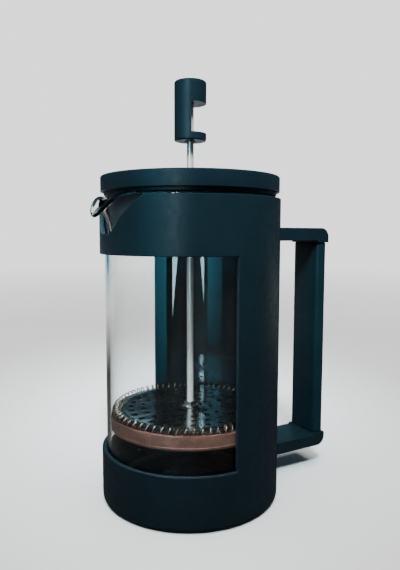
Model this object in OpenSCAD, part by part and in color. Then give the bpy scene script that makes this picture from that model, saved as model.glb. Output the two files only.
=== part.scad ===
// French press: a glass beaker in a one-piece plastic sleeve with a side handle,
// a flat lid that turns to close the spout, and a plunger with a spring-edged filter.
// Origin: centre of the flat pad that the press stands on. +Z up, +X to the handle, -X to the spout.

/* [Beaker] */
// Outer radius of the glass wall
glass_r = 51; // [50:0.1:51.1]
// Thickness of the glass
glass_t = 2; // [1.6:0.1:2.4]
// Height of the rim above the table
rim_z = 182.2; // [181.6:0.1:183]
// Radius of the rounding at the foot of the glass
glass_foot_r = 9; // [6:0.5:12]
// Half angle of the spout, measured at the axis
spout_angle = 33.8; // [28:0.2:36]
// How far the spout's tip stands out from the wall
spout_reach = 9.8; // [6:0.1:11]
// How far the spout's tip hangs below the rim
spout_drop = 11.3; // [8:0.1:14]

/* [Sleeve] */
// Outer radius of the sleeve
sleeve_r = 54; // [54:0.5:56]
// Wall thickness of the sleeve
sleeve_t = 2.6; // [2.2:0.1:2.7]
// Height of the band that holds the beaker's neck, at its top
band_top_z = 180.7; // [180:0.1:181]
// Lower edge of that band
band_low_z = 148.4; // [140:0.2:152]
// Rim of the cup that holds the beaker's foot
cup_top_z = 31.8; // [26:0.2:40]
// Rounding of the sleeve's lower outer edge
sleeve_foot_r = 3; // [2:0.5:4]
// Half width of the notch for the spout, at the top
notch_top_w = 31.3; // [28:0.1:33]
// Half width of the notch at its bottom
notch_low_w = 8.8; // [6:0.1:12]
// Height of the notch's bottom
notch_low_z = 160; // [158:0.2:164]

/* [Handle] */
// Distance from the axis to the inside of the grip
handle_in_x = 89.4; // [84:0.2:96]
// Thickness of the grip
grip_t = 9.2; // [8:0.2:11]
// Width of the handle's arms
handle_w = 27.3; // [24:0.1:30]
// Height of the upper arm's top face
arm_top_z = 164.3; // [160:0.1:166]
// Thickness of the upper arm
upper_arm_t = 8.4; // [7.6:0.1:9]
// Height of the lower arm's underside
arm_low_z = 15; // [13:0.1:20]
// Thickness of the lower arm
lower_arm_t = 7.7; // [7.4:0.1:9]

/* [Lid] */
// Outer radius of the lid
lid_r = 53.2; // [52.4:0.1:54]
// Height of the lid's lower edge
lid_low_z = 184.2; // [183.8:0.1:185]
// Height of the lid's top face
lid_top_z = 193.4; // [191:0.1:196]
// Lower end of the strainer collar inside the glass
collar_low_z = 164; // [160:0.5:170]
// Number of slots in the strainer collar
strainer_slots = 11; // [5:2:13]

/* [Plunger] */
// Radius of the rod
rod_r = 2; // [2:0.1:2.5]
// Radius of the knob
knob_r = 9.5; // [8:0.1:11]
// Height of the knob's underside
knob_low_z = 214.9; // [213:0.1:216]
// Height of the knob's top face
knob_top_z = 249.4; // [246:0.1:256]
// Lower end of the finger notch in the knob
notch_z0 = 219.3; // [218:0.1:222]
// Upper end of the finger notch in the knob
notch_z1 = 236.5; // [232:0.1:237]
// Distance from the axis to the notch's flat wall
notch_x = 0.7; // [0:0.1:1.5]
// Direction that the finger notch faces, about the axis
notch_turn = -28.5; // [-180:0.5:180]
// Height of the filter's plate
filter_z = 54; // [50:0.5:60]
// Radius of one turn of the edge spring
coil_r = 2.8; // [2.4:0.1:3]
// Wire thickness of the edge spring
wire_t = 0.7; // [0.6:0.1:0.8]
// Depth of the mesh cup below the plate
mesh_depth = 10; // [8:0.5:11]

/* [Hidden] */
$fn = 96;
eps = 0.01;

run_gap = 0.05;                       // running fit between a shaft and its hole
slip_gap = 0.3;                       // gap between parts that slide past each other
sleeve_in_r = sleeve_r - sleeve_t;
glass_mid_r = glass_r - glass_t / 2;
glass_in_r = glass_r - glass_t;
far = 200;                            // longer than anything it cuts
small_chamfer = 0.4;

spout_fullness = 0.586;               // under 1 keeps the spout wide near its tip
spout_low_z = notch_low_z - 1.5;      // where the wall leans out below the tip
spout_rise = 21.5;                    // how much later it leans out at the spout's edges
lip_bow = 8;                          // how far the lip bows up above its tip
lip_run = 4.5;                        // how far back from the tip it does so
rim_ease = 0.3;                       // how early the wall is upright again away from the spout
neck_pull = 0.45;                     // where the neck bends most, as a share of its height

pad_t = 1.6;
pad_r = 45;
sleeve_low_z = 0.6;
notch_flare = 1.35;                   // 1 gives straight sides, more gives a wider flare at the top
notch_corner_r = 3;
floor_t = 2.4;
floor_z = pad_t + floor_t;
cushion_t = 1.6;
cushion_r = 48;
cushion_in_r = 20;
glass_low_z = floor_z + cushion_t;

grip_out_x = handle_in_x + grip_t;
core_t = 5.2;
core_w = 18;
grip_corner_r = 4.2;
grip_w = handle_w - 1.2;
arm_stub = 1.2;                       // step where an arm meets the end of the grip
grip_z0 = arm_low_z + lower_arm_t + arm_stub;
grip_z1 = arm_top_z - upper_arm_t - arm_stub;
upper_arm_z = arm_top_z - upper_arm_t / 2;
lower_arm_z = arm_low_z + lower_arm_t / 2;
screw_r = 2;
screw_y = 7;
screw_len = 16;
screw_head_r = 3.7;
screw_head_t = 2;
screw_x = sleeve_in_r - 0.2;
screw_play = 0.1;

lid_skin = 2.2;
lid_wall = 2.4;
boss_r = 8;
boss_low_z = 182;
bush_r = 5;
bush_flange_r = 6.4;
bush_flange_t = 1.2;
bush_tail = 1.6;                      // how far the bush sticks out under the boss
clip_t = 0.8;
collar_r = glass_in_r - 0.6;
collar_t = 2.2;
flange_r = 51.2;
slot_w = 1.6;
slot_pitch = 5.6;

rod_low_z = filter_z - mesh_depth;
rod_top_z = knob_top_z - 3.9;
insert_r = 3.6;
insert_z0 = notch_z1 + 1;
hub_flange_r = 5.4;
hub_flange_t = 1;
hub_nut_t = 3.2;
mesh_t = 0.35;
mesh_r = glass_in_r - slip_gap;
coil_centre_r = mesh_r - mesh_t - run_gap - coil_r;
plate_t = 0.6;
plate_r = coil_centre_r - 0.6;
plate_circles = [[10, 13], [16, 21], [22, 29], [28, 36.5]];   // holes, and the radius they lie on
boss_out_r = 5;
cross_t = 0.8;
cross_r = 41;

function clamp01(x) = max(0, min(1, x));

// ---------------------------------------------------------------- shared shapes

// A plain ring from z0 to z1.
module ring(r_out, r_in, z0, z1) {
    translate([0, 0, z0])
        difference() {
            cylinder(r = r_out, h = z1 - z0);
            translate([0, 0, -1]) cylinder(r = r_in, h = z1 - z0 + 2);
        }
}

// A solid of revolution from [radius, height] points.
module turned(points) {
    rotate_extrude() polygon(points);
}

function arc_points(cx, cz, r, a0, a1, n) =
    [for (i = [0:n]) let (a = a0 + (a1 - a0) * i / n) [cx + r * cos(a), cz + r * sin(a)]];

// Where the four handle screws go: x is left to the caller.
module at_screws() {
    for (z = [upper_arm_z, lower_arm_z], y = [-screw_y, screw_y])
        translate([0, y, z]) rotate([0, 90, 0]) children();
}

module screw_body(r_shank, r_head, length) {
    translate([0, 0, screw_x]) cylinder(r1 = r_head, r2 = r_shank, h = screw_head_t);
    translate([0, 0, screw_x]) cylinder(r = r_shank, h = length);
}

// ---------------------------------------------------------------- sleeve

module sleeve() {
    edge = 0.8;
    color([0.07, 0.14, 0.17])
        difference() {
            turned(concat(
                [[pad_r + slip_gap, pad_t], [pad_r + slip_gap, sleeve_low_z]],
                arc_points(sleeve_r - sleeve_foot_r, sleeve_low_z + sleeve_foot_r,
                           sleeve_foot_r, -90, 0, 8),
                arc_points(sleeve_r - edge, band_top_z - edge, edge, 0, 90, 4),
                [[sleeve_in_r, band_top_z], [sleeve_in_r, floor_z], [0, floor_z], [0, pad_t]]));
            translate([-far, -far / 2, cup_top_z])
                cube([far, far, band_low_z - cup_top_z]);
            spout_notch();
            at_screws() screw_body(screw_r + screw_play, screw_head_r + screw_play, screw_len);
        }
}

// Half width of the notch at height z: it flares towards the top, and its lower corners are round.
function notch_w(z) =
    let (t = clamp01((z - notch_low_z) / (band_top_z - notch_low_z)))
    notch_low_w + (notch_top_w - notch_low_w) * pow(t, notch_flare);

module spout_notch() {
    steps = 10;
    above = 1;
    side = concat(
        arc_points(notch_low_w - notch_corner_r, notch_low_z + notch_corner_r, notch_corner_r,
                   -90, -20, 4),
        [for (i = [2:steps]) let (z = notch_low_z + (band_top_z - notch_low_z) * i / steps)
         [notch_w(z), z]],
        [[notch_w(band_top_z), band_top_z + above]]);
    mirrored = [for (i = [len(side) - 1:-1:0]) [-side[i][0], side[i][1]]];
    translate([-far / 2, 0, 0]) rotate([90, 0, 90]) linear_extrude(far / 2)
        polygon(concat(side, mirrored));
}

module base_cushion() {
    color([0.16, 0.17, 0.18])
        ring(cushion_r, cushion_in_r, floor_z, floor_z + cushion_t);
}

module non_slip_pad() {
    bevel = 0.3;
    color([0.05, 0.05, 0.06])
        turned([[0, 0], [pad_r - bevel, 0], [pad_r, bevel], [pad_r, pad_t], [0, pad_t]]);
}

// ---------------------------------------------------------------- handle

// A rectangle from [x0, y0] to [x1, y1] with the four corners rounded.
module round_rect(x0, y0, x1, y1, r) {
    translate([x0 + r, y0]) square([x1 - x0 - 2 * r, y1 - y0]);
    translate([x0, y0 + r]) square([x1 - x0, y1 - y0 - 2 * r]);
    for (x = [x0 + r, x1 - r], y = [y0 + r, y1 - r])
        translate([x, y]) circle(r = r);
}

module handle() {
    outer_corner = 6;
    start_x = sleeve_in_r - 6;
    color([0.08, 0.16, 0.2])
        difference() {
            union() {
                rotate([90, 0, 0])
                    translate([0, 0, -handle_w / 2]) linear_extrude(handle_w)
                        difference() {
                            round_rect(start_x, arm_low_z, grip_out_x, arm_top_z, outer_corner);
                            round_rect(start_x - far, arm_low_z + lower_arm_t,
                                       handle_in_x, arm_top_z - upper_arm_t, arm_stub);
                            translate([start_x - 1, grip_z0])
                                square([far, grip_z1 - grip_z0]);
                        }
                translate([grip_mid_x() - core_t / 2, -core_w / 2, grip_z0 - eps])
                    cube([core_t, core_w, grip_z1 - grip_z0 + 2 * eps]);
            }
            cylinder(r = sleeve_r, h = far);
            at_screws() cylinder(r = screw_r, h = screw_x + screw_len + 0.5);
        }
}

function grip_mid_x() = handle_in_x + grip_t / 2;

module grip() {
    color([0.1, 0.2, 0.25])
        translate([0, 0, grip_z0]) linear_extrude(grip_z1 - grip_z0)
            difference() {
                round_rect(handle_in_x, -grip_w / 2, grip_out_x, grip_w / 2, grip_corner_r);
                translate([grip_mid_x() - core_t / 2, -core_w / 2]) square([core_t, core_w]);
            }
}

module handle_screws() {
    recess = 1.1;
    cross = [4.2, 0.8, 2 * recess];
    color([0.75, 0.76, 0.78])
        at_screws() difference() {
            screw_body(screw_r, screw_head_r, screw_len);
            for (a = [0, 90])
                translate([0, 0, screw_x]) rotate([0, 0, a])
                    cube(cross, center = true);
        }
}

// ---------------------------------------------------------------- beaker

// Weight of the spout at angle a from its middle: 1 in the middle, 0 past its edge.
function spout_weight(a) = clamp01(0.5 + 0.5 * cos(180 * clamp01(abs(a) / spout_angle)));
function spout_out(a) = spout_reach * pow(spout_weight(a), spout_fullness);

// Height where the wall starts to lean out, which follows the notch in the sleeve.
function spout_start_z(a) =
    spout_low_z + spout_rise * clamp01(sin(min(90, abs(a))) / sin(spout_angle));

function bezier(p, t) =
    pow(1 - t, 3) * p[0] + 3 * pow(1 - t, 2) * t * p[1] + 3 * (1 - t) * t * t * p[2] + pow(t, 3) * p[3];
function bezier_slope(p, t) =
    3 * pow(1 - t, 2) * (p[1] - p[0]) + 6 * (1 - t) * t * (p[2] - p[1]) + 3 * t * t * (p[3] - p[2]);

// Control points, as [radius, height], of the middle of the glass from wall to rim at angle a.
// The lip bows up before it turns down to its end, and away from the spout the wall stays upright.
function neck(a) =
    let (lip = spout_out(a) / spout_reach,
         z0 = spout_start_z(a),
         end = [glass_mid_r + spout_out(a),
                rim_z - glass_t / 2 - spout_drop * pow(spout_weight(a), 2)],
         bow_z = end[1] + lip_bow * lip - rim_ease * (1 - lip) * (end[1] - z0))
    [[glass_mid_r, z0],
     [glass_mid_r, z0 + neck_pull * (bow_z - z0)],
     [end[0] - lip_run * lip, bow_z],
     end];

// A point on the neck: side is 1 on the outside, -1 on the inside.
function neck_point(a, t, side) =
    let (p = neck(a), d = bezier_slope(p, t), n = [d[1], -d[0]] / norm(d))
    bezier(p, t) + side * glass_t / 2 * n;

// The rim's crown, one half thickness past the end of the neck.
function rim_point(a) =
    let (p = neck(a), d = bezier_slope(p, 1))
    p[3] + glass_t / 2 * d / norm(d);

neck_steps = 6;
foot_steps = 4;
wall_mid_z = 100;
wall_top_z = 150;

function outline(a) = concat(
    arc_points(glass_r - glass_foot_r, glass_low_z + glass_foot_r, glass_foot_r, -90, 0, foot_steps),
    [[glass_r, wall_mid_z], [glass_r, wall_top_z]],
    [for (i = [0:neck_steps]) neck_point(a, i / neck_steps, 1)],
    [rim_point(a)],
    [for (i = [neck_steps:-1:0]) neck_point(a, i / neck_steps, -1)],
    [[glass_in_r, wall_top_z], [glass_in_r, wall_mid_z]],
    arc_points(glass_r - glass_foot_r, glass_low_z + glass_foot_r, glass_foot_r - glass_t,
               0, -90, foot_steps));

module beaker() {
    sides = 72;
    rings = len(outline(0));
    points = [for (i = [0:sides - 1]) let (a = i * 360 / sides, b = a > 180 ? a - 360 : a)
              for (p = outline(b)) [-p[0] * cos(a), -p[0] * sin(a), p[1]]];
    function at(i, j) = (i % sides) * rings + j;
    walls = [for (i = [0:sides - 1], j = [0:rings - 2])
             each [[at(i, j), at(i, j + 1), at(i + 1, j + 1)],
                   [at(i, j), at(i + 1, j + 1), at(i + 1, j)]]];
    base = [[for (i = [0:sides - 1]) at(i, 0)],
            [for (i = [sides - 1:-1:0]) at(i, rings - 1)]];
    color([0.8, 0.9, 0.93, 0.35])
        polyhedron(points = points, faces = concat(walls, base), convexity = 6);
}

// ---------------------------------------------------------------- lid

module lid_shell() {
    edge = 1;
    inner_r = lid_r - lid_wall;
    color([0.07, 0.15, 0.18])
        difference() {
            turned(concat(
                [[0, boss_low_z], [boss_r, boss_low_z], [boss_r, lid_top_z - lid_skin],
                 [inner_r, lid_top_z - lid_skin], [inner_r, lid_low_z],
                 [lid_r - small_chamfer, lid_low_z], [lid_r, lid_low_z + small_chamfer]],
                arc_points(lid_r - edge, lid_top_z - edge, edge, 0, 90, 4),
                [[0, lid_top_z]]));
            translate([0, 0, boss_low_z - 1])
                cylinder(r = bush_r + run_gap, h = lid_top_z - boss_low_z + 2);
            translate([0, 0, lid_top_z - bush_flange_t - run_gap])
                cylinder(r = bush_flange_r + run_gap, h = 2 * bush_flange_t);
        }
}

module lid_liner() {
    slot_margin = 3;
    slot_h = 13;
    spread = slot_pitch / collar_r * 180 / PI;
    middle = (strainer_slots - 1) / 2;
    color([0.09, 0.13, 0.15])
        difference() {
            turned([[collar_r - collar_t, collar_low_z], [collar_r - small_chamfer, collar_low_z],
                    [collar_r, collar_low_z + small_chamfer], [collar_r, rim_z], [flange_r, rim_z],
                    [flange_r, lid_low_z], [collar_r, lid_low_z],
                    [collar_r, lid_top_z - lid_skin], [collar_r - collar_t, lid_top_z - lid_skin]]);
            for (i = [-middle:middle])
                rotate([0, 0, i * spread])
                    translate([collar_r - collar_t - 1, -slot_w / 2, collar_low_z + slot_margin])
                        cube([collar_t + 2, slot_w, slot_h]);
        }
}

module lid_bush() {
    color([0.25, 0.26, 0.27])
        difference() {
            union() {
                translate([0, 0, boss_low_z - bush_tail])
                    cylinder(r = bush_r, h = lid_top_z - boss_low_z + bush_tail);
                translate([0, 0, lid_top_z - bush_flange_t])
                    cylinder(r = bush_flange_r, h = bush_flange_t);
            }
            cylinder(r = rod_r + run_gap, h = far);
        }
}

module bush_clip() {
    clip_w = 2.6;
    clip_high_z = boss_low_z - 0.1;
    color([0.7, 0.71, 0.73])
        ring(bush_r + clip_w, bush_r, clip_high_z - clip_t, clip_high_z);
}

// ---------------------------------------------------------------- plunger

module plunger_rod() {
    tip = 0.5;
    color([0.75, 0.74, 0.73])
        turned([[0, rod_low_z], [rod_r - tip, rod_low_z], [rod_r, rod_low_z + tip],
                [rod_r, rod_top_z - tip], [rod_r - tip, rod_top_z], [0, rod_top_z]]);
}

module knob() {
    edge = 1.2;
    recess_r = 3.2;
    recess_h = 2.4;
    low_chamfer = 0.5;
    color([0.06, 0.16, 0.2])
        difference() {
            turned(concat(
                [[0, knob_low_z], [knob_r - low_chamfer, knob_low_z], [knob_r, knob_low_z + low_chamfer]],
                arc_points(knob_r - edge, knob_top_z - edge, edge, 0, 90, 5),
                [[0, knob_top_z]]));
            rotate([0, 0, notch_turn]) translate([notch_x, -far / 2, notch_z0])
                cube([far, far, notch_z1 - notch_z0]);
            translate([0, 0, knob_low_z - 1]) cylinder(r = rod_r + run_gap, h = insert_z0 - knob_low_z + 2);
            translate([0, 0, knob_low_z - 1]) cylinder(r = recess_r, h = recess_h + 1);
            translate([0, 0, insert_z0]) cylinder(r = insert_r, h = rod_top_z - insert_z0 + 1);
        }
}

module knob_insert() {
    color([0.78, 0.62, 0.3])
        ring(insert_r, rod_r + run_gap, insert_z0, rod_top_z);
}

module hub_nut() {
    low_z = filter_z + plate_t / 2;
    hex_r = hub_flange_r - 1.2;
    cone_low_r = hub_flange_r + 2;
    cone_high_r = hub_flange_r - 1.8;
    color([0.8, 0.8, 0.8])
        difference() {
            union() {
                translate([0, 0, low_z]) cylinder(r = hub_flange_r, h = hub_flange_t);
                translate([0, 0, low_z]) intersection() {
                    linear_extrude(hub_nut_t)
                        polygon([for (i = [0:5]) hex_r * [cos(60 * i), sin(60 * i)]]);
                    cylinder(r1 = cone_low_r, r2 = cone_high_r, h = hub_nut_t);
                }
            }
            cylinder(r = rod_r + run_gap, h = far);
        }
}

// Holes of radius hole_r, evenly spaced on a circle of radius at_r.
module hole_circle(count, at_r, hole_r) {
    for (i = [0:count - 1])
        rotate([0, 0, 360 * i / count]) translate([at_r, 0, filter_z - 1])
            cylinder(r = hole_r, h = 2);
}

module spiral_plate() {
    hole_r = 1.8;
    color([0.72, 0.73, 0.75])
        difference() {
            translate([0, 0, filter_z - plate_t / 2]) cylinder(r = plate_r, h = plate_t);
            cylinder(r = rod_r + run_gap, h = far);
            for (c = plate_circles) hole_circle(c[0], c[1], hole_r);
        }
}

// The spring's turns are closed into a C-shaped ring: same outer size, wire thickness and place.
module edge_spring() {
    slot_h = plate_t + 0.1;
    color([0.8, 0.77, 0.74])
        rotate_extrude() translate([coil_centre_r, filter_z]) difference() {
            circle(r = coil_r);
            circle(r = coil_r - wire_t);
            translate([-coil_r - 1, -slot_h / 2]) square([coil_r + 1, slot_h]);
        }
}

module mesh_screen() {
    low_z = filter_z - mesh_depth;
    top_z = filter_z - 1;
    bend = 1.6;
    color([0.62, 0.47, 0.4])
        turned(concat(
            [[boss_out_r, low_z]],
            arc_points(mesh_r - bend, low_z + bend, bend, -90, 0, 5),
            [[mesh_r, top_z], [mesh_r - mesh_t, top_z]],
            arc_points(mesh_r - bend, low_z + bend, bend - mesh_t, 0, -90, 5),
            [[boss_out_r, low_z + mesh_t]]));
}

module cross_plate() {
    rim_w = 8;
    spoke_w = 9;
    hub_r = 9;
    high_z = filter_z - mesh_depth;
    color([0.7, 0.7, 0.72])
        translate([0, 0, high_z - cross_t]) linear_extrude(cross_t) difference() {
            circle(r = cross_r);
            difference() {
                circle(r = cross_r - rim_w);
                circle(r = hub_r);
                for (a = [0, 90]) rotate([0, 0, a])
                    square([2 * cross_r, spoke_w], center = true);
            }
        }
}

module threaded_boss() {
    low_z = filter_z - mesh_depth;
    color([0.76, 0.6, 0.33])
        ring(boss_out_r, rod_r + run_gap, low_z, filter_z - plate_t / 2);
}

sleeve();
handle();
grip();
handle_screws();
base_cushion();
non_slip_pad();
lid_shell();
lid_liner();
lid_bush();
bush_clip();
plunger_rod();
knob();
knob_insert();
hub_nut();
spiral_plate();
edge_spring();
mesh_screen();
cross_plate();
threaded_boss();
beaker();
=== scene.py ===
import math
import random

import bmesh
import bpy
from mathutils import Matrix, Vector


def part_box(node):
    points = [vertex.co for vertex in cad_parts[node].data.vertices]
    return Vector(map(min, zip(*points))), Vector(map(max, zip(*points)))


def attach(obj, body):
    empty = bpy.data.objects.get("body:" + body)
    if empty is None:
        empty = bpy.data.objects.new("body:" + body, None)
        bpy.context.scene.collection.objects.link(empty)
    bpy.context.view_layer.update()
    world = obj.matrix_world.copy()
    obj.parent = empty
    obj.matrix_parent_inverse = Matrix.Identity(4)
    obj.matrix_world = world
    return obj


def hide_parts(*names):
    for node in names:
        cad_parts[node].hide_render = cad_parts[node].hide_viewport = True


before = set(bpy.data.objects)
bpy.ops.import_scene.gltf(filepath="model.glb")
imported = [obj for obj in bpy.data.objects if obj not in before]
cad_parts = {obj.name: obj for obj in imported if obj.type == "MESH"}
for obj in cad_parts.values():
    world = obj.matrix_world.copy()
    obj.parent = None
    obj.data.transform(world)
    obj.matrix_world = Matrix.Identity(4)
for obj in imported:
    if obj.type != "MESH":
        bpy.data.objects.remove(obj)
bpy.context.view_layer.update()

MM = 0.001
rng = random.Random(7)


# ------------------------ sizes, from the frame's boxes where they show

def low(node):
    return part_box(node)[0]


def high(node):
    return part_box(node)[1]


SLEEVE_R = high("sleeve").x
SLEEVE_T = 2.6 * MM
SLEEVE_IN = SLEEVE_R - SLEEVE_T
SLEEVE_LOW = low("sleeve").z
BAND_TOP = high("sleeve").z
BAND_LOW = 148.4 * MM
CUP_TOP = 31.8 * MM
PAD_R = high("non_slip_pad").x
PAD_TOP = high("non_slip_pad").z
FLOOR_Z = low("base_cushion").z

# The notch in the band that the spout hangs through.
NOTCH_LOW = 160.0 * MM
NOTCH_TOP_W = 31.3 * MM
NOTCH_LOW_W = 8.8 * MM
NOTCH_FLARE = 1.35
NOTCH_CORNER_R = 3.0 * MM

GLASS_R = high("beaker").y
GLASS_T = 2.0 * MM
GLASS_LOW = low("beaker").z
GLASS_MID = GLASS_R - GLASS_T / 2
GLASS_IN = GLASS_R - GLASS_T
RIM_Z = high("beaker").z
GLASS_FOOT = 9.0 * MM

# The spout spreads to SPOUT_ANGLE each way. At its middle the rim reaches out and drops, and the lip
# curls over above its tip. The wall starts to lean out NECK_START above the notch, and away from the
# middle up to NECK_SHORTER higher.
SPOUT_ANGLE = math.radians(33.8)
SPOUT_REACH = 9.8 * MM
SPOUT_DROP = 11.3 * MM
SPOUT_FULLNESS = 0.586
LIP_RISE = 8.0 * MM
LIP_RUN = 4.5 * MM
RIM_EASE = 0.3
NECK_PULL = 0.45
NECK_START = -1.5 * MM
NECK_SHORTER = 21.5 * MM

HANDLE_OUT = high("handle").x
HANDLE_W = high("handle").y * 2
HANDLE_LOW = low("handle").z
HANDLE_TOP = high("handle").z
GRIP_IN = low("grip").x
GRIP_LOW = low("grip").z
GRIP_TOP = high("grip").z
GRIP_W = high("grip").y * 2
GRIP_MID = (GRIP_IN + HANDLE_OUT) / 2
UPPER_ARM_T = 8.4 * MM
LOWER_ARM_T = 7.7 * MM

LID_R = high("lid_shell").x
LID_LOW = 184.2 * MM
LID_TOP = high("lid_shell").z
BOSS_LOW = low("lid_shell").z

ROD_R = high("plunger_rod").x
ROD_HOLE = ROD_R + 0.05 * MM
ROD_LOW = low("plunger_rod").z
ROD_TOP = high("plunger_rod").z
KNOB_R = 9.5 * MM
KNOB_LOW = low("knob").z
KNOB_TOP = high("knob").z

# The finger notch in the knob: its lowest and highest point, the way it faces and where its flat stands.
GAP_LOW = 219.3 * MM
GAP_TOP = 236.5 * MM
GAP_TURN = math.radians(-28.5)
GAP_X = 0.7 * MM

COIL_OUT = high("edge_spring").y
COIL_R = (high("edge_spring").z - low("edge_spring").z) / 2
FILTER_Z = (high("edge_spring").z + low("edge_spring").z) / 2
MESH_R = high("mesh_screen").y
MESH_LOW = low("mesh_screen").z
MESH_TOP = high("mesh_screen").z
PLATE_R = high("spiral_plate").y

# The eye stands this far round from the front, and BEHIND points straight away from it.
EYE_TURN = math.radians(28.5)
BEHIND = (math.sin(EYE_TURN), math.cos(EYE_TURN), 0)


# ------------------------ mesh helpers

# Edges are hard past SHARP degrees. TINY and SLACK are what counts as nothing, in metres and in radians.
SHARP = 38
TINY = 1e-9
SLACK = 1e-6
BOX_FACES = ((0, 1, 3, 2), (4, 6, 7, 5), (0, 4, 5, 1), (2, 3, 7, 6), (0, 2, 6, 4), (1, 5, 7, 3))


def finish_faces(bm, sharp):
    """Smooth faces, with hard edges past the sharp angle in degrees."""
    limit = math.radians(sharp)
    for f in bm.faces:
        f.smooth = True
    for e in bm.edges:
        e.smooth = len(e.link_faces) == 2 and e.calc_face_angle(0.0) < limit


def add_object(name, data):
    obj = bpy.data.objects.new(name, data)
    bpy.context.scene.collection.objects.link(obj)
    return obj


def mesh_object(name, verts, faces, sharp=None):
    """A new object in metres. With a sharp angle, its double points are merged and its faces smoothed."""
    mesh = bpy.data.meshes.new(name)
    bm = bmesh.new()
    made = [bm.verts.new(v) for v in verts]
    for f in faces:
        bm.faces.new([made[i] for i in f])
    if sharp is not None:
        bmesh.ops.remove_doubles(bm, verts=bm.verts, dist=1e-7)
    bmesh.ops.recalc_face_normals(bm, faces=bm.faces)
    if sharp is not None:
        finish_faces(bm, sharp)
    bm.to_mesh(mesh)
    bm.free()
    return add_object(name, mesh)


def piece(name, verts, faces, material, body, node, sharp=SHARP):
    """A visible piece that rides on a body and stands in for a CAD node."""
    obj = mesh_object(name, verts, faces, sharp)
    obj.data.materials.append(material)
    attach(obj, body)
    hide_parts(node)
    return obj


def round_edges(obj, width, segments, angle):
    """Small rounded edges on everything sharper than angle."""
    bevel = obj.modifiers.new("round_edges", "BEVEL")
    bevel.width = width
    bevel.segments = segments
    bevel.limit_method = "ANGLE"
    bevel.angle_limit = math.radians(angle)
    bevel.use_clamp_overlap = True
    bevel.miter_outer = "MITER_ARC"
    level = obj.modifiers.new("flat_normals", "WEIGHTED_NORMAL")
    level.keep_sharp = False
    level.weight = 60


def arc(cx, cz, r, a0, a1, steps):
    """Points [radius, height] on an arc, angles in degrees."""
    return [(cx + r * math.cos(math.radians(a0 + (a1 - a0) * i / steps)),
             cz + r * math.sin(math.radians(a0 + (a1 - a0) * i / steps)))
            for i in range(steps + 1)]


def turned(profile, sides):
    """Verts and faces of a closed outline [radius, height] turned about Z. Points on the axis close it."""
    closed = profile[0][0] > TINY or profile[-1][0] > TINY
    rows = len(profile)
    verts, faces = [], []
    for i in range(sides):
        a = 2 * math.pi * i / sides
        verts += [(r * math.cos(a), r * math.sin(a), z) for r, z in profile]
    last = rows if closed else rows - 1
    for i in range(sides):
        k = (i + 1) % sides
        for j in range(last):
            n = (j + 1) % rows
            quad = [i * rows + j, k * rows + j, k * rows + n, i * rows + n]
            if profile[j][0] < TINY:
                quad = [i * rows + j, k * rows + n, i * rows + n]
            elif profile[n][0] < TINY:
                quad = [i * rows + j, k * rows + j, i * rows + n]
            faces.append(quad)
    return merge_poles(verts, faces)


def merge_poles(verts, faces):
    """Points that coincide on the axis become one."""
    index, kept, where = {}, [], []
    for v in verts:
        key = tuple(round(c, 9) for c in v)
        if key not in index:
            index[key] = len(kept)
            kept.append(v)
        where.append(index[key])
    out = []
    for f in faces:
        g = [where[i] for i in f]
        if len(set(g)) >= 3:
            out.append(list(dict.fromkeys(g)))
    return kept, out


def skin(rings, around, base=0, looped=False):
    """Faces between rings of points that follow one another. A looped row of rings ends where it began."""
    faces = []
    for j in range(rings if looped else rings - 1):
        row, after = base + j * around, base + (j + 1) % rings * around
        for i in range(around):
            k = (i + 1) % around
            faces.append([row + i, row + k, after + k, after + i])
    return faces


def ring(count, base=0):
    return list(range(base, base + count))


def cut(obj, tool):
    """obj less tool, worked out now, so that no helper object stays."""
    boolean = obj.modifiers.new("cut", "BOOLEAN")
    boolean.operation = "DIFFERENCE"
    boolean.solver = "EXACT"
    boolean.object = tool
    bpy.context.view_layer.update()
    shape = obj.evaluated_get(bpy.context.evaluated_depsgraph_get())
    made = bpy.data.meshes.new_from_object(shape)
    obj.modifiers.remove(boolean)
    materials = list(obj.data.materials)
    obj.data = made
    made.materials.clear()
    for m in materials:
        made.materials.append(m)
    bpy.data.objects.remove(tool)
    bm = bmesh.new()
    bm.from_mesh(made)
    finish_faces(bm, SHARP)
    bm.to_mesh(made)
    bm.free()


# ------------------------ materials

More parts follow.
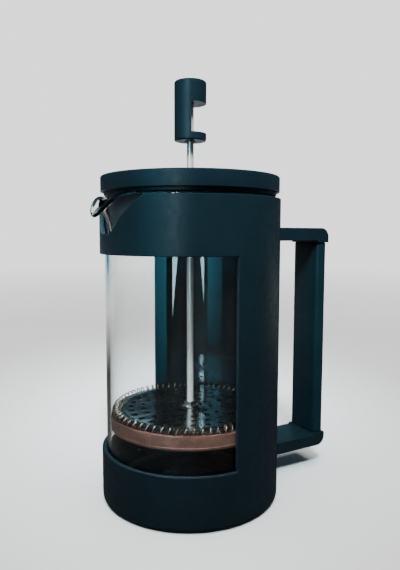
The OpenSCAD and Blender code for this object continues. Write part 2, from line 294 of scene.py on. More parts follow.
class Nodes:
    """A material's node tree. Most calls add a node and return its output socket."""

    def __init__(self, name):
        self.mat = bpy.data.materials.new(name)
        self.mat.use_nodes = True
        self.tree = self.mat.node_tree
        self.tree.nodes.clear()
        self.out = self.tree.nodes.new("ShaderNodeOutputMaterial")
        coords = self.tree.nodes.new("ShaderNodeTexCoord")
        self.place = coords.outputs["Object"]

    def node(self, kind, **inputs):
        n = self.tree.nodes.new(kind)
        for key, value in inputs.items():
            self.put(n, key.replace("_", " "), value)
        return n

    def put(self, n, key, value):
        socket = n.inputs[key] if key in n.inputs else n.inputs[int(key)]
        if isinstance(value, bpy.types.NodeSocket):
            self.tree.links.new(value, socket)
        else:
            socket.default_value = value

    def stretched(self, x, y, z):
        m = self.node("ShaderNodeMapping", Vector=self.place, Scale=(x, y, z))
        return m.outputs[0]

    def noise(self, scale, detail=4.0, rough=0.6, place=None):
        n = self.node("ShaderNodeTexNoise", Vector=place or self.place, Scale=scale,
                      Detail=detail, Roughness=rough)
        return n.outputs["Fac"]

    def spread(self, fac, a, b, low=0.3, high=0.7):
        m = self.node("ShaderNodeMapRange", Value=fac)
        for key, value in (("From Min", low), ("From Max", high), ("To Min", a), ("To Max", b)):
            m.inputs[key].default_value = value
        return m.outputs[0]

    def blend(self, fac, a, b):
        m = self.tree.nodes.new("ShaderNodeMix")
        m.data_type = "RGBA"
        self.put(m, "Factor", fac)
        for key, value in (("6", a), ("7", b)):
            socket = m.inputs[int(key)]
            if isinstance(value, bpy.types.NodeSocket):
                self.tree.links.new(value, socket)
            else:
                socket.default_value = (*value, 1.0)
        return m.outputs[2]

    def math(self, kind, a, b=0.0, clamp=False):
        m = self.tree.nodes.new("ShaderNodeMath")
        m.operation = kind
        m.use_clamp = clamp
        self.put(m, "0", a)
        self.put(m, "1", b)
        return m.outputs[0]

    def bump(self, height, strength, distance, normal=None):
        b = self.node("ShaderNodeBump", Height=height, Strength=strength, Distance=distance)
        if normal is not None:
            self.tree.links.new(normal, b.inputs["Normal"])
        return b.outputs[0]

    def surface(self, **inputs):
        p = self.node("ShaderNodeBsdfPrincipled", **inputs)
        self.tree.links.new(p.outputs[0], self.out.inputs["Surface"])
        return p

    def mixed_surface(self, fac, first, second):
        """The surface is the first shader where fac is 0 and the second where it is 1."""
        mix = self.tree.nodes.new("ShaderNodeMixShader")
        self.tree.links.new(fac, mix.inputs[0])
        self.tree.links.new(first.outputs[0], mix.inputs[1])
        self.tree.links.new(second.outputs[0], mix.inputs[2])
        self.tree.links.new(mix.outputs[0], self.out.inputs["Surface"])

    def path(self, kind):
        """What kind of path the light takes, or how often it has bounced."""
        return self.tree.nodes.new("ShaderNodeLightPath").outputs[kind]

    def mirrored(self):
        """1 on a path that some surface has sent back, 0 on a straight look, through glass or not."""
        return self.math("ADD", self.path("Diffuse Depth"), self.path("Glossy Depth"), clamp=True)

    def parts(self):
        """The place on the object as X, Y and Z."""
        return self.node("ShaderNodeSeparateXYZ", Vector=self.place).outputs

    def vector_math(self, kind, *values):
        m = self.tree.nodes.new("ShaderNodeVectorMath")
        m.operation = kind
        for i, value in enumerate(values):
            self.put(m, str(i), value)
        return m.outputs["Value"]


def scaled(colour, k):
    return tuple(c * k for c in colour)


def plastic(name, dark, light, rough=(0.36, 0.5)):
    """Moulded plastic: a fine grain, slow colour drift, faint scuffs that are rougher and paler."""
    n = Nodes(name)
    drift = n.spread(n.noise(28, 3), 0, 1)
    scuff = n.spread(n.noise(90, 6, 0.75, n.stretched(1, 1, 0.25)), 0, 1, 0.62, 0.8)
    colour = n.blend(drift, dark, light)
    worn = tuple(min(1.0, c * 1.5 + 0.008) for c in light)
    colour = n.blend(n.math("MULTIPLY", scuff, 0.5), colour, worn)
    shine = n.math("ADD", n.spread(n.noise(240, 3), *rough), n.math("MULTIPLY", scuff, 0.12))
    fine = n.noise(2600, 2, 0.5)
    flow = n.noise(60, 2, 0.5)
    normal = n.bump(fine, 0.12, 0.00006, n.bump(flow, 0.05, 0.0008))
    n.surface(Base_Color=colour, Roughness=shine, Normal=normal, Specular_IOR_Level=0.38)
    return n.mat


def steel(name, tint, rough, brushed=False, metal=1.0):
    """Steel with fine brushing up its length, or an even grain when it isn't brushed."""
    n = Nodes(name)
    scale = (2200, 2200, 18) if brushed else (900, 900, 900)
    lines = n.noise(1.0, 3, 0.6, n.stretched(*scale))
    stain = n.spread(n.noise(45, 5), 0, 1, 0.5, 0.8)
    colour = n.blend(n.spread(lines, 0, 1), scaled(tint, 0.86), tint)
    colour = n.blend(n.math("MULTIPLY", stain, 0.35), colour, scaled(tint, 0.6))
    shine = n.math("ADD", n.spread(lines, rough * 0.75, rough * 1.25), n.math("MULTIPLY", stain, 0.1))
    n.surface(Base_Color=colour, Metallic=metal, Roughness=shine, Normal=n.bump(lines, 0.06, 0.00002))
    return n.mat


def clear_glass(name):
    """Clear glass with faint smears. Lamps shine through it."""
    n = Nodes(name)
    smear = n.spread(n.noise(40, 5, 0.7, n.stretched(1, 1, 0.3)), 0.0, 0.05, 0.5, 0.85)
    glass = n.surface(Base_Color=(0.965, 0.985, 0.98, 1), Roughness=smear, IOR=1.5,
                      Transmission_Weight=1.0)
    open_way = n.node("ShaderNodeBsdfTransparent", Color=(0.93, 0.96, 0.955, 1))
    n.mixed_surface(n.path("Is Shadow Ray"), glass, open_way)
    return n.mat


def rubber(name, dark, light, rough):
    """Matt rubber with a fine grain."""
    n = Nodes(name)
    colour = n.blend(n.spread(n.noise(50, 5), 0, 1), dark, light)
    n.surface(Base_Color=colour, Roughness=n.spread(n.noise(300, 3), rough - 0.1, rough + 0.1),
              Normal=n.bump(n.noise(1800, 2), 0.2, 0.00008))
    return n.mat


def pressed_steel(name, dark, light):
    """Rolled sheet, stained by use: broad soft patches, hardly any grain."""
    n = Nodes(name)
    patch = n.spread(n.noise(70, 6), 0, 1, 0.36, 0.66)
    shine = n.spread(n.noise(260, 5), 0.12, 0.24)
    n.surface(Base_Color=n.blend(patch, dark, light), Metallic=1.0, Roughness=shine,
              Normal=n.bump(n.noise(90, 2), 0.05, 0.0002))
    return n.mat


def woven(name, tint):
    """Fine plain-woven wire: crossing waves round the axis and up the side, stained in patches."""
    n = Nodes(name)
    x, y, z = n.parts()
    turn = n.math("ARCTAN2", y, x)
    across = n.math("SINE", n.math("MULTIPLY", turn, 500))
    up = n.math("SINE", n.math("MULTIPLY", z, 9000))
    weave = n.math("MULTIPLY", across, up)
    stain = n.spread(n.noise(140, 8, 0.75), 0, 1, 0.35, 0.65)
    colour = n.blend(stain, tint, scaled(tint, 0.5))
    n.surface(Base_Color=colour, Metallic=0.75, Roughness=n.spread(n.noise(200, 4), 0.34, 0.55),
              Normal=n.bump(weave, 0.35, 0.0001))
    return n.mat


SHELL = plastic("shell_plastic", (0.0034, 0.0086, 0.0120), (0.0047, 0.0118, 0.0163))
GRIP = plastic("grip_plastic", (0.0034, 0.012, 0.017), (0.0046, 0.016, 0.022), (0.38, 0.5))
LINER = plastic("liner_plastic", (0.004, 0.008, 0.011), (0.006, 0.012, 0.016), (0.4, 0.5))
BUSH = plastic("bush_plastic", (0.016, 0.017, 0.018), (0.024, 0.025, 0.026), (0.4, 0.5))
GLASS = clear_glass("beaker_glass")
SILICONE = rubber("silicone", (0.004, 0.0045, 0.005), (0.007, 0.0075, 0.008), 0.6)
RUBBER = rubber("pad_rubber", (0.006, 0.006, 0.007), (0.011, 0.011, 0.0125), 0.8)
# The rod keeps steel's own pale colour, but its warm cast is painted reflection of a red-brown table.
ROD = steel("rod_steel", (0.95, 0.84, 0.76), 0.30, brushed=True, metal=0.6)
PLATE = pressed_steel("plate_steel", (0.20, 0.22, 0.24), (0.42, 0.44, 0.46))
# The coil is plain steel. Its coppery cast is painted reflection of a red-brown table.
WIRE = steel("spring_steel", (0.80, 0.62, 0.50), 0.2)
NUT = steel("nut_steel", (0.95, 0.93, 0.90), 0.2)
SCREW = steel("screw_steel", (0.55, 0.55, 0.56), 0.3)
BRASS = steel("brass", (0.66, 0.46, 0.2), 0.25)
# The mesh is stainless steel. Its copper-tan colour is painted reflection of a red-brown table, and only
# its darker patches are stains.
MESH = woven("mesh_steel", (0.25, 0.115, 0.083))


# ------------------------ sleeve

def notch_top(angle, radius):
    """Height of the band's top edge at an angle from the spout's middle, on the wall's inside or outside.

    The notch is flat in the middle, turns up in a round corner, runs straight and then bends out."""
    w = radius * math.sin(min(abs(angle), math.pi / 2))
    flat = NOTCH_LOW_W - NOTCH_CORNER_R
    if w <= flat:
        return NOTCH_LOW
    bend = math.radians(70)
    corner_end = flat + NOTCH_CORNER_R * math.sin(bend)
    if w < corner_end:
        return NOTCH_LOW + NOTCH_CORNER_R - math.sqrt(NOTCH_CORNER_R ** 2 - (w - flat) ** 2)
    straight_t = 0.2
    straight_w = NOTCH_LOW_W + (NOTCH_TOP_W - NOTCH_LOW_W) * straight_t ** NOTCH_FLARE
    rise = BAND_TOP - NOTCH_LOW
    if w < straight_w:
        z0 = NOTCH_LOW + NOTCH_CORNER_R * (1 - math.cos(bend))
        t = (w - corner_end) / (straight_w - corner_end)
        return z0 + t * (NOTCH_LOW + rise * straight_t - z0)
    t = (w - NOTCH_LOW_W) / (NOTCH_TOP_W - NOTCH_LOW_W)
    return min(BAND_TOP, NOTCH_LOW + rise * t ** (1 / NOTCH_FLARE))


def sleeve_columns():
    """Angles about Z, closer together round the notch, with the notch's own corners among them."""
    edge = math.asin(NOTCH_TOP_W / SLEEVE_R)
    half = [0.0]
    while half[-1] < math.pi - SLACK:
        away = math.degrees(half[-1])
        half.append(half[-1] + math.radians(0.75 if away < 15 else 1.25 if away < 40 else 2.5))
    half[-1] = math.pi
    for exact in (edge, math.pi / 2):
        nearest = min(range(len(half)), key=lambda i: abs(half[i] - exact))
        half[nearest] = exact
    return sorted([math.pi - v for v in half] + [math.pi + v for v in half[1:-1]])


def sleeve_rows():
    """Rows of the wall from the middle of its floor to the band's foot, as pairs of outer and inner
    points [radius, height]. Also the rows where the cup ends and where the band begins."""
    foot = 3.0 * MM
    fillet = 1.5 * MM
    recess = PAD_R + 0.3 * MM
    middle = 18 * MM
    rows = [((middle, PAD_TOP), (middle, FLOOR_Z)),
            ((recess - 6 * MM, PAD_TOP), (recess - 6 * MM, FLOOR_Z)),
            ((recess, PAD_TOP), (recess - 2 * MM, FLOOR_Z)),
            ((recess + 0.1 * MM, SLEEVE_LOW), (recess, FLOOR_Z))]
    outer = arc(SLEEVE_R - foot, SLEEVE_LOW + foot, foot, -90, 0, 6)
    inner = arc(SLEEVE_IN - fillet, FLOOR_Z + fillet, fillet, -90, 0, 6)
    rows += list(zip(outer, inner))
    heights = [z * MM for z in (8, 12, 18, 24, 29)] + [CUP_TOP]
    rows += [((SLEEVE_R, z), (SLEEVE_IN, z)) for z in heights]
    cup_row = len(rows) - 1
    open_rows = 12
    for i in range(1, open_rows + 1):
        z = CUP_TOP + (BAND_LOW - CUP_TOP) * i / open_rows
        rows.append(((SLEEVE_R, z), (SLEEVE_IN, z)))
    return rows, cup_row, len(rows) - 1


def build_sleeve():
    """One wall round a grid of columns and rows, open at the front between the cup and the band."""
    rows, cup_row, band_row = sleeve_rows()
    band_steps = 8
    columns = sleeve_columns()
    total = band_row + band_steps
    count = len(columns)
    verts, index = [], {}

    def point(i, j, side):
        key = (i, j, side)
        if key not in index:
            a = columns[i]
            if j <= band_row:
                r, z = rows[j][side]
            else:
                r = (SLEEVE_R, SLEEVE_IN)[side]
                z = BAND_LOW + (notch_top(a - math.pi, r) - BAND_LOW) * (j - band_row) / band_steps
            index[key] = len(verts)
            verts.append((r * math.cos(a), r * math.sin(a), z))
        return index[key]

    def solid(i, j):
        if j < 0 or j >= total:
            return False
        mid = (columns[i % count] + (columns[(i + 1) % count] or 2 * math.pi)) / 2
        return not (cup_row <= j < band_row and math.cos(mid) < 0)

    faces = []
    for i in range(count):
        k = (i + 1) % count
        for j in range(total):
            if not solid(i, j):
                continue
            faces.append([point(i, j, 0), point(k, j, 0), point(k, j + 1, 0), point(i, j + 1, 0)])
            faces.append([point(i, j, 1), point(i, j + 1, 1), point(k, j + 1, 1), point(k, j, 1)])
            if not solid(i, j + 1):
                faces.append([point(i, j + 1, 0), point(k, j + 1, 0),
                              point(k, j + 1, 1), point(i, j + 1, 1)])
            if j > 0 and not solid(i, j - 1):
                faces.append([point(i, j, 0), point(i, j, 1), point(k, j, 1), point(k, j, 0)])
            if not solid((i + 1) % count, j):
                faces.append([point(k, j, 0), point(k, j, 1), point(k, j + 1, 1), point(k, j + 1, 0)])
            if not solid((i - 1) % count, j):
                faces.append([point(i, j, 0), point(i, j + 1, 0), point(i, j + 1, 1), point(i, j, 1)])
    faces.append([point(i, 0, 0) for i in range(count)])
    faces.append([point(i, 0, 1) for i in reversed(range(count))])
    obj = piece("sleeve_moulding", verts, faces, SHELL, "frame", "sleeve", 50)
    round_edges(obj, 0.55 * MM, 3, 55)


# ------------------------ handle

def outline_face(points, width):
    """A flat outline in X and Z, pushed out to both sides along Y."""
    n = len(points)
    verts = [(x, -width / 2, z) for x, z in points] + [(x, width / 2, z) for x, z in points]
    faces = [list(range(n)), list(range(2 * n - 1, n - 1, -1))]
    faces += [[i, (i + 1) % n, n + (i + 1) % n, n + i] for i in range(n)]
    return verts, faces


def build_handle():
    """Two arms, each with a round outer and a small inner corner, and the flat core inside the grip."""
    start = SLEEVE_R - 1.6 * MM
    outer_r = 6.0 * MM
    inner_r = GRIP_LOW - HANDLE_LOW - LOWER_ARM_T
    upper = HANDLE_TOP - UPPER_ARM_T
    lower = HANDLE_LOW + LOWER_ARM_T
    top_corner = arc(HANDLE_OUT - outer_r, HANDLE_TOP - outer_r, outer_r, 0, 90, 10)
    top_inner = arc(GRIP_IN - inner_r, upper - inner_r, inner_r, 90, 0, 6)
    upper_arm = [(HANDLE_OUT, GRIP_TOP)] + top_corner + [(start, HANDLE_TOP), (start, upper)]
    upper_arm += top_inner + [(GRIP_IN, GRIP_TOP)]
    low_inner = arc(GRIP_IN - inner_r, lower + inner_r, inner_r, 0, -90, 6)
    low_corner = arc(HANDLE_OUT - outer_r, HANDLE_LOW + outer_r, outer_r, -90, 0, 10)
    lower_arm = [(GRIP_IN, GRIP_LOW)] + low_inner + [(start, lower), (start, HANDLE_LOW)] + low_corner
    lower_arm += [(HANDLE_OUT, GRIP_LOW)]
    for name, outline in (("handle_upper_arm", upper_arm), ("handle_lower_arm", lower_arm)):
        verts, faces = outline_face(outline, HANDLE_W)
        arm = piece(name, verts, faces, SHELL, "frame", "handle", 50)
        round_edges(arm, 0.9 * MM, 4, 50)
    core_t, core_w = 5.2 * MM, 18 * MM
    near, far = GRIP_MID - core_t / 2, GRIP_MID + core_t / 2
    foot, head = GRIP_LOW - MM, GRIP_TOP + MM
    verts, faces = outline_face([(near, foot), (near, head), (far, head), (far, foot)], core_w)
    piece("handle_core", verts, faces, SHELL, "frame", "handle")


def build_grip():
    """A rounded bar, a little crowned on its broad faces, drawn in at its ends where it meets the arms."""
    half_t = (HANDLE_OUT - GRIP_IN) / 2
    half_w = GRIP_W / 2
    corner = 3.9 * MM
    crown = 0.35 * MM
    end = 0.9 * MM
    draw_in = 0.5 * MM
    length = GRIP_TOP - GRIP_LOW
    section = []
    for sx, sy, a0 in ((1, 1, 0), (-1, 1, 90), (-1, -1, 180), (1, -1, 270)):
        section += [(sx * (half_t - corner) + x, sy * (half_w - corner) + y)
                    for x, y in arc(0, 0, corner, a0, a0 + 90, 8)]
    levels = [0.0, 0.15, 0.35, 0.6, 1.0]
    heights = [GRIP_LOW + end * t for t in levels]
    steps = 24
    heights += [GRIP_LOW + end + (length - 2 * end) * i / steps for i in range(1, steps)]
    heights += [GRIP_TOP - end * t for t in reversed(levels)]
    verts = []
    around = len(section)
    for z in heights:
        edge = min(z - GRIP_LOW, GRIP_TOP - z)
        pull = draw_in * (1 - math.sqrt(1 - (1 - edge / end) ** 2)) if edge < end else 0.0
        for x, y in section:
            swell = math.copysign(crown * (1 - abs(y) / half_w), x)
            verts.append((GRIP_MID + x * (1 - (crown + pull) / half_t) + swell, y * (1 - pull / half_w), z))
    faces = skin(len(heights), around)
    faces.append(ring(around)[::-1])
    faces.append(ring(around, (len(heights) - 1) * around))
    piece("handle_grip", verts, faces, GRIP, "frame", "grip", 60)


# ------------------------ beaker

def neck(a):
    """Control points, as radius and height, of the middle of the glass from wall to rim, at an angle
    from the spout's middle."""
    w = 0.5 + 0.5 * math.cos(math.pi * min(1.0, abs(a) / SPOUT_ANGLE))
    lip = max(0.0, w) ** SPOUT_FULLNESS
    lean = min(1.0, math.sin(min(math.pi / 2, abs(a))) / math.sin(SPOUT_ANGLE))
    z0 = NOTCH_LOW + NECK_START + NECK_SHORTER * lean
    end = Vector((GLASS_MID + SPOUT_REACH * lip, RIM_Z - GLASS_T / 2 - SPOUT_DROP * w * w))
    over = end.y + LIP_RISE * lip - RIM_EASE * (1 - lip) * (end.y - z0)
    return (Vector((GLASS_MID, z0)), Vector((GLASS_MID, z0 + NECK_PULL * (over - z0))),
            Vector((end.x - LIP_RUN * lip, over)), end)


def bezier(p, t):
    return (1 - t) ** 3 * p[0] + 3 * (1 - t) ** 2 * t * p[1] + 3 * (1 - t) * t * t * p[2] + t ** 3 * p[3]


def bezier_way(p, t):
    d = (1 - t) ** 2 * (p[1] - p[0]) + 2 * (1 - t) * t * (p[2] - p[1]) + t * t * (p[3] - p[2])
    return d.normalized()


def beaker_outline(a):
    """The glass's section at an angle from the spout's middle: up the outside, over the rim and back."""
    steps, rim_steps, foot_steps = 14, 6, 9
    half = GLASS_T / 2
    foot = GLASS_FOOT
    straight = [z * MM for z in (30, 60, 90, 120, 150)]
    p = neck(a)
    outside, inside = [], []
    for i in range(steps + 1):
        d = bezier_way(p, i / steps)
        across = half * Vector((d.y, -d.x))
        outside.append(bezier(p, i / steps) + across)
        inside.append(bezier(p, i / steps) - across)
    points = [Vector(q) for q in arc(GLASS_R - foot, GLASS_LOW + foot, foot, -90, 0, foot_steps)]
    points += [Vector((GLASS_R, z)) for z in straight] + outside
    d = bezier_way(p, 1)
    n = Vector((d.y, -d.x))
    for k in range(1, rim_steps):
        b = math.pi * k / rim_steps
        points.append(p[3] + half * (math.cos(b) * n + math.sin(b) * d))
    points += inside[::-1] + [Vector((GLASS_IN, z)) for z in reversed(straight)]
    points += [Vector(q) for q in arc(GLASS_R - foot, GLASS_LOW + foot, foot - GLASS_T, 0, -90, foot_steps)]
    return points


def build_beaker():
    """The section at every angle, closer together round the spout, with a flat floor inside and out."""
    angles = []
    a = -math.pi
    while a < math.pi - SLACK:
        angles.append(a)
        a += math.radians(1.25 if abs(a) < math.radians(40) else 2.5)
    rows = len(beaker_outline(0))
    verts, faces = [], []
    for a in angles:
        verts += [(-p.x * math.cos(a), -p.x * math.sin(a), p.y) for p in beaker_outline(a)]
    count = len(angles)
    for i in range(count):
        k = (i + 1) % count
        for j in range(rows - 1):
            faces.append([i * rows + j, i * rows + j + 1, k * rows + j + 1, k * rows + j])
    faces.append([i * rows for i in range(count)])
    faces.append([i * rows + rows - 1 for i in reversed(range(count))])
    piece("glass_beaker", verts, faces, GLASS, "carafe", "beaker", 60)


# ------------------------ lid

def build_lid():
    """A disc with a short skirt and a centre boss, turned in one outline from the boss outwards."""
    skin_t, wall = 2.2 * MM, 2.4 * MM
    boss = 8.0 * MM
    edge, lip, chamfer, fillet = 1.1 * MM, 0.5 * MM, 0.3 * MM, MM
    hole = 5.05 * MM
    sink_r, sink, sink_edge = 6.45 * MM, 1.25 * MM, 0.2 * MM
    inner = LID_R - wall
    under = LID_TOP - skin_t
    profile = [(hole, BOSS_LOW + chamfer), (hole + chamfer, BOSS_LOW), (boss - chamfer, BOSS_LOW),
               (boss, BOSS_LOW + chamfer)]
    profile += arc(boss + fillet, under - fillet, fillet, 180, 90, 5)
    profile += arc(inner - fillet, under - fillet, fillet, 90, 0, 5)
    profile += [(inner, LID_LOW + chamfer), (inner + chamfer, LID_LOW), (LID_R - lip, LID_LOW)]
    profile += arc(LID_R - lip, LID_LOW + lip, lip, -90, 0, 4)[1:]
    profile += arc(LID_R - edge, LID_TOP - edge, edge, 0, 90, 8)
    profile += [(r, LID_TOP) for r in (40 * MM, 20 * MM, sink_r + sink_edge)]
    profile += [(sink_r, LID_TOP - sink_edge), (sink_r, LID_TOP - sink), (hole, LID_TOP - sink)]
    verts, faces = turned(profile, 160)
    piece("lid_disc", verts, faces, SHELL, "lid", "lid_shell")


def build_liner():
    """The collar inside the glass, with its strainer slots, and the flange that rests on the rim."""
    out = GLASS_IN - 0.6 * MM
    inner = out - 2.2 * MM
    bottom = low("lid_liner").z
    top = high("lid_liner").z
    flange = high("lid_liner").y
    chamfer, nose = 0.3 * MM, 0.5 * MM
    profile = [(inner, bottom + chamfer), (inner + chamfer, bottom), (out - nose, bottom),
               (out, bottom + nose), (out, RIM_Z), (flange - chamfer, RIM_Z), (flange, RIM_Z + chamfer),
               (flange, LID_LOW - 0.1 * MM), (out, LID_LOW), (out, top), (inner, top)]
    verts, faces = turned(profile, 160)
    obj = piece("lid_collar", verts, faces, LINER, "lid", "lid_liner")
    slots, pitch, slot_w = 11, 5.6 * MM, 1.6 * MM
    slot_low, slot_top = bottom + 3 * MM, bottom + 16 * MM
    verts, faces = [], []
    for s in range(slots):
        turn = Matrix.Rotation((s - (slots - 1) / 2) * pitch / out, 4, "Z")
        base = len(verts)
        verts += [turn @ Vector((x, y, z)) for x in (inner - MM, out + MM)
                  for y in (-slot_w / 2, slot_w / 2) for z in (slot_low, slot_top)]
        faces += [[base + i for i in f] for f in BOX_FACES]
    cut(obj, mesh_object("slots", verts, faces))


# ------------------------ plunger

def build_rod():
    tip = 0.5 * MM
    steps = 20
    profile = [(0, ROD_LOW), (ROD_R - tip, ROD_LOW), (ROD_R, ROD_LOW + tip)]
    profile += [(ROD_R, ROD_LOW + (ROD_TOP - ROD_LOW) * i / steps) for i in range(1, steps)]
    profile += [(ROD_R, ROD_TOP - tip), (ROD_R - tip, ROD_TOP), (0, ROD_TOP)]
    verts, faces = turned(profile, 48)
    piece("steel_rod", verts, faces, ROD, "rod", "plunger_rod")


def build_knob():
    """A cylinder cut to its middle between two heights, on the side that the notch faces."""
    recess = 3.2 * MM
    recess_top = KNOB_LOW + 2.4 * MM
    recess_edge = 0.4 * MM
    edge, low_edge, low_nose = 1.3 * MM, 0.7 * MM, 0.2 * MM
    outer = [(KNOB_R - low_edge, KNOB_LOW), (KNOB_R - low_nose, KNOB_LOW + low_nose),
             (KNOB_R, KNOB_LOW + low_edge)]
    outer += [(KNOB_R, z) for z in (GAP_LOW - MM, GAP_LOW, GAP_TOP, GAP_TOP + MM)]
    outer += arc(KNOB_R - edge, KNOB_TOP - edge, edge, 0, 90, 7)
    profile = [(0, recess_top), (ROD_HOLE, recess_top), (recess, recess_top),
               (recess, KNOB_LOW + recess_edge), (recess + recess_edge, KNOB_LOW)]
    profile += outer + [(0, KNOB_TOP)]
    verts, faces = turned(profile, 96)
    obj = piece("plunger_knob", verts, faces, SHELL, "plunger_head", "knob", 50)
    turn = Matrix.Rotation(GAP_TURN, 4, "Z")
    reach = 20 * MM
    box = [turn @ Vector((x, y, z))
           for x in (GAP_X, reach) for y in (-reach, reach) for z in (GAP_LOW, GAP_TOP)]
    cut(obj, mesh_object("finger_notch", box, BOX_FACES))
    round_edges(obj, 0.5 * MM, 3, 50)


def build_spring():
    """The coil wound round the plate's edge: one wire, its turns a little uneven. Along the wire, u goes
    round the filter and v round the coil."""
    turns, per_turn, around = 68, 16, 7
    wire = 0.34 * MM
    centre = COIL_OUT - COIL_R
    radius = COIL_R - wire
    lean = [rng.uniform(-0.09, 0.09) for _ in range(turns)]
    grow = [rng.uniform(-0.02, 0.0) for _ in range(turns)]
    steps = turns * per_turn
    path = []
    for i in range(steps):
        turn = i / per_turn
        this, after = int(turn) % turns, (int(turn) + 1) % turns
        f = turn - int(turn)
        f = f * f * (3 - 2 * f)
        shift = lean[this] * (1 - f) + lean[after] * f
        r = radius * (1 + grow[this] * (1 - f) + grow[after] * f)
        u = 2 * math.pi * (turn + shift) / turns
        v = 2 * math.pi * turn
        d = centre + r * math.cos(v)
        path.append(Vector((d * math.cos(u), d * math.sin(u), FILTER_Z + r * math.sin(v))))
    verts = []
    for i in range(steps):
        way = (path[(i + 1) % steps] - path[i - 1]).normalized()
        u = 2 * math.pi * i / steps
        out = path[i] - Vector((centre * math.cos(u), centre * math.sin(u), FILTER_Z))
        side = (out - way * out.dot(way)).normalized()
        up = way.cross(side)
        for j in range(around):
            b = 2 * math.pi * j / around
            verts.append(path[i] + wire * (math.cos(b) * side + math.sin(b) * up))
    faces = skin(steps, around, looped=True)
    piece("edge_coil", verts, faces, WIRE, "plunger_head", "edge_spring", 80)


def build_mesh_screen():
    """A woven cup: its side stands against the glass, its foot is folded into a bead."""
    thick, bend, bead, tip = 0.35 * MM, 1.4 * MM, 0.42 * MM, 0.15 * MM
    inner = high("threaded_boss").x + 0.02 * MM
    side = MESH_R - 0.12 * MM
    corner = MESH_LOW + bend
    wall_low = corner + 1.1 * MM
    wall_steps = 6
    wall_rise = (MESH_TOP - corner - 1.5 * MM) / wall_steps
    flat = (20 * MM, 36 * MM)
    profile = [(inner, MESH_LOW)] + [(r, MESH_LOW) for r in flat]
    profile += arc(side - bend, corner, bend, -90, -20, 5)
    profile += arc(MESH_R - bead, corner + 0.3 * MM, bead, -60, 60, 5)
    profile += [(side, wall_low + wall_rise * i) for i in range(wall_steps)]
    profile += [(side, MESH_TOP - tip), (side - thick / 2, MESH_TOP), (side - thick, MESH_TOP - tip)]
    profile += [(side - thick, wall_low)]
    profile += arc(side - bend, corner, bend - thick, 0, -90, 5)
    profile += [(r, MESH_LOW + thick) for r in reversed(flat)] + [(inner, MESH_LOW + thick)]
    verts, faces = turned(profile, 200)
    waves = [(rng.randint(5, 23), rng.uniform(0, 6.28), rng.uniform(0.01, 0.05) * MM) for _ in range(9)]
    shaped = [dented(v, waves) for v in verts]
    piece("mesh_cup", shaped, faces, MESH, "plunger_head", "mesh_screen", 60)


def dented(point, waves):
    """A point of the mesh's side, moved in by waves that grow towards its uneven top edge."""
    x, y, z = point
    r, a = math.hypot(x, y), math.atan2(y, x)
    if r > 40 * MM and z > MESH_LOW + 3 * MM:
        rise = (z - MESH_LOW) / (MESH_TOP - MESH_LOW)
        dent = sum(size * math.sin(count * a + start) for count, start, size in waves) * rise
        r += min(0.0, dent)
        z += 1.6 * dent if z > MESH_TOP - 0.5 * MM else 0.0
        z = min(z, MESH_TOP)
    return (r * math.cos(a), r * math.sin(a), z)


def build_plate():
    """The pressed plate: flat, with a stamped ring near the edge, another round the nut and holes."""
    low_z, high_z = low("spiral_plate").z, high("spiral_plate").z
    thick = high_z - low_z
    raised = high_z + 0.25 * MM
    middle = 20 * MM
    profile = [(ROD_HOLE, low_z), (middle, low_z), (PLATE_R, low_z), (PLATE_R, high_z)]
    profile += [(42.4 * MM, high_z), (41.5 * MM, raised), (40.7 * MM, raised), (39.8 * MM, high_z)]
    profile += [(middle, high_z), (9.4 * MM, high_z), (9 * MM, raised), (7.6 * MM, raised),
                (7.2 * MM, high_z), (ROD_HOLE, high_z)]
    verts, faces = turned(profile, 160)
    obj = piece("pressed_plate", verts, faces, PLATE, "plunger_head", "spiral_plate")
    hole_r = 1.8 * MM
    sides = 20
    verts, faces = [], []
    for count, circle_r in ((10, 13 * MM), (16, 21 * MM), (22, 29 * MM), (28, 36.5 * MM)):
        for k in range(count):
            a = 2 * math.pi * k / count
            base = len(verts)
            for z in (low_z - thick, high_z + thick):
                verts += [(circle_r * math.cos(a) + hole_r * math.cos(2 * math.pi * i / sides),
                           circle_r * math.sin(a) + hole_r * math.sin(2 * math.pi * i / sides), z)
                          for i in range(sides)]
            faces += [ring(sides, base)[::-1], ring(sides, base + sides)] + skin(2, sides, base)
    cut(obj, mesh_object("holes", verts, faces))


def build_hub_nut():
    """A washer with a hexagon on it, which narrows at its top."""
    z0, z1 = low("hub_nut").z, high("hub_nut").z
    flange = high("hub_nut").y
    chamfer = 0.2 * MM
    profile = [(ROD_HOLE, z0), (flange - chamfer, z0), (flange, z0 + chamfer), (flange, z0 + 0.6 * MM),
               (flange - 0.4 * MM, z0 + MM), (ROD_HOLE + 0.5 * MM, z0 + 1.1 * MM),
               (ROD_HOLE, z0 + 1.1 * MM)]
    verts, faces = turned(profile, 72)
    piece("hub_flange", verts, faces, NUT, "plunger_head", "hub_nut")
    hexagon_r = 4.1 * MM
    levels = ((z0 + 0.8 * MM, hexagon_r), (z1 - 0.4 * MM, hexagon_r), (z1, hexagon_r * 0.88))
    sides = 6
    step = 2 * math.pi / sides
    verts = [(r * math.cos(step * i), r * math.sin(step * i), z) for z, r in levels for i in range(sides)]
    faces = skin(len(levels), sides) + [ring(sides)[::-1], ring(sides, (len(levels) - 1) * sides)]
    hexagon = piece("hub_hexagon", verts, faces, NUT, "plunger_head", "hub_nut", 25)
    round_edges(hexagon, 0.15 * MM, 2, 25)


# ------------------------ CAD nodes that stay, with their own finish

def dress(node, material):
    """A CAD node's own mesh gets one material, on all its faces."""
    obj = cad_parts[node]
    obj.data.materials.clear()
    obj.data.materials.append(material)
    for p in obj.data.polygons:
        p.material_index = 0


# ------------------------ studio

